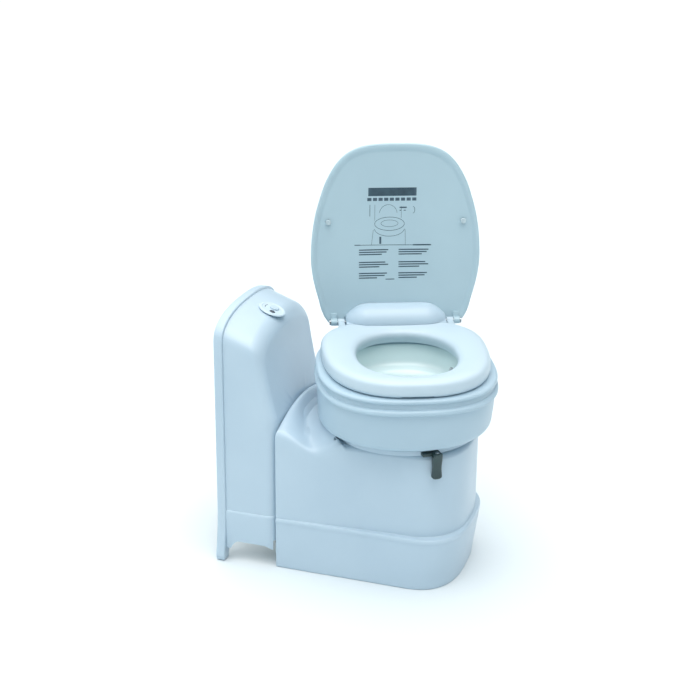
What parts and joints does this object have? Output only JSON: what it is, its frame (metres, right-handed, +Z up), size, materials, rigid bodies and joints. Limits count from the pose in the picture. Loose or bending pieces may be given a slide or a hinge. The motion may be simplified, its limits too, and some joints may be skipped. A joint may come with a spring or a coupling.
{
  "type": "cassette toilet",
  "caption": "Cassette toilet for a motorhome or caravan: swivelling bowl with seat and lid, cistern tower with flush button, and a slide-out waste cassette.",
  "frame": {"origin": "on the floor, where the bowl's swivel axis meets the underside of the floor tray", "axes": "+Z up; +Y towards the wall behind the tower; -Y towards the rounded nose; the long side seen in use faces -X"},
  "size_m": [0.4941, 0.583, 0.8776],
  "materials": {
    "white_shell": "glossy moulded plastic, cool white",
    "panel": "satin white moulded panel",
    "bowl_inner": "smooth glossy inner bowl, faint green white",
    "dark_lens": "dark tinted lens",
    "steel": "plain stainless steel",
    "grey_plastic": "fine textured engineering plastic",
    "dark_plastic": "dark green grey moulded plastic",
    "tank_plastic": "blow moulded polyethylene",
    "hose": "translucent flexible hose",
    "rubber": "moulded rubber",
    "pale_rubber": "pale moulded rubber",
    "amber_plastic": "amber moulded plastic",
    "blue_plastic": "blue moulded plastic"
  },
  "bodies": {
    "base": {"rear_frame": "white_shell", "frame_screw_1": "steel", "frame_screw_2": "steel", "frame_screw_3": "steel", "frame_screw_4": "steel", "tower_shell": "white_shell", "base_shell": "white_shell", "floor_tray": "grey_plastic", "bearing_ring": "grey_plastic", "control_panel": "panel", "indicator_lens": "dark_lens", "flush_tank": "tank_plastic", "filler_neck": "tank_plastic", "pump": "dark_plastic", "flush_hose": "hose", "water_union": "grey_plastic"},
    "bowl": {"swivel_flange": "grey_plastic", "swivel_spigot": "grey_plastic", "retaining_ring": "steel", "bowl_shroud": "white_shell", "rim_ring": "white_shell", "inner_bowl": "bowl_inner", "flush_nozzle_left": "grey_plastic", "flush_nozzle_right": "grey_plastic", "hinge_block": "white_shell", "hinge_pin_left": "steel", "hinge_pin_right": "steel"},
    "seat": {"seat": "white_shell", "seat_buffer_1": "rubber", "seat_buffer_2": "rubber", "seat_buffer_3": "rubber", "seat_buffer_4": "rubber"},
    "lid": {"lid": "white_shell", "lid_buffer_1": "pale_rubber", "lid_buffer_2": "pale_rubber"},
    "blade_lever": {"lever_ring": "white_shell", "blade_lever": "dark_plastic", "lever_screw": "steel"},
    "flush_button": {"flush_button": "white_shell"},
    "fill_cap": {"fill_cap": "grey_plastic"},
    "cassette_latch": {"cassette_latch": "amber_plastic"},
    "cassette": {"cassette_tank": "tank_plastic", "lip_seal": "rubber", "blade_guide_left": "grey_plastic", "blade_guide_right": "grey_plastic"},
    "sliding_cover": {"sliding_cover": "grey_plastic"},
    "valve_blade": {"valve_blade": "dark_plastic"},
    "pour_spout": {"pour_spout": "tank_plastic"},
    "spout_cap": {"spout_cap": "dark_plastic"},
    "vent_button": {"vent_button": "blue_plastic"},
    "carry_handle": {"carry_handle": "dark_plastic"},
    "level_float": {"level_float": "amber_plastic"}
  },
  "joints": [
    {"name": "bowl_swivel", "type": "hinge", "parent": "base", "child": "bowl", "pos_m": [0, 0, 0.32], "axis": [0, 0, 1], "range_deg": [-23.5, 156.5]},
    {"name": "seat_hinge", "type": "hinge", "parent": "bowl", "child": "seat", "pos_m": [0.16874, 0.07337, 0.484], "axis": [-0.3987, 0.9171, 0], "range_deg": [0, 90]},
    {"name": "lid_hinge", "type": "hinge", "parent": "bowl", "child": "lid", "pos_m": [0.16874, 0.07337, 0.484], "axis": [-0.3987, 0.9171, 0], "range_deg": [-95, 0]},
    {"name": "blade_lever_swing", "type": "hinge", "parent": "base", "child": "blade_lever", "pos_m": [0, 0, 0.314], "axis": [0, 0, -1], "range_deg": [0, 45]},
    {"name": "flush_button_press", "type": "slide", "parent": "base", "child": "flush_button", "axis": [0, 0.3387, -0.9409], "range_m": [0, 0.0025], "stiffness_N_per_m": 600},
    {"name": "fill_cap_turn", "type": "hinge", "parent": "base", "child": "fill_cap", "pos_m": [0.062, 0.36, 0.452], "axis": [0, 1, 0], "range_deg": [0, 90]},
    {"name": "cassette_latch_hinge", "type": "hinge", "parent": "base", "child": "cassette_latch", "pos_m": [0.064, 0.2435, 0.006], "axis": [1, 0, 0], "range_deg": [0, 80]},
    {"name": "cassette_slide", "type": "slide", "parent": "base", "child": "cassette", "axis": [0, 1, 0], "range_m": [0, 0.5]},
    {"name": "sliding_cover_slide", "type": "slide", "parent": "cassette", "child": "sliding_cover", "axis": [0, -1, 0], "range_m": [0, 0.14]},
    {"name": "valve_blade_slide", "type": "slide", "parent": "cassette", "child": "valve_blade", "axis": [0, 1, 0], "range_m": [0, 0.11]},
    {"name": "pour_spout_swing", "type": "hinge", "parent": "cassette", "child": "pour_spout", "pos_m": [0.062, 0.3, 0.12], "axis": [0, 1, 0], "range_deg": [0, 90]},
    {"name": "spout_cap_turn", "type": "hinge", "parent": "pour_spout", "child": "spout_cap", "pos_m": [-0.045, 0.3315, 0.12], "axis": [-1, 0, 0], "range_deg": [0, 180]},
    {"name": "vent_button_press", "type": "slide", "parent": "cassette", "child": "vent_button", "axis": [0, 0, -1], "range_m": [0, 0.004], "stiffness_N_per_m": 400},
    {"name": "carry_handle_fold", "type": "hinge", "parent": "cassette", "child": "carry_handle", "pos_m": [0, 0.24, 0.2092], "axis": [1, 0, 0], "range_deg": [0, 55]},
    {"name": "level_float_swing", "type": "hinge", "parent": "cassette", "child": "level_float", "pos_m": [-0.102, 0.14, 0.19], "axis": [1, 0, 0], "range_deg": [-40, 0]}
  ],
  "couplings": [
    {"joint": "valve_blade_slide", "follows": "blade_lever_swing", "m_per_rad": 0.14}
  ]
}
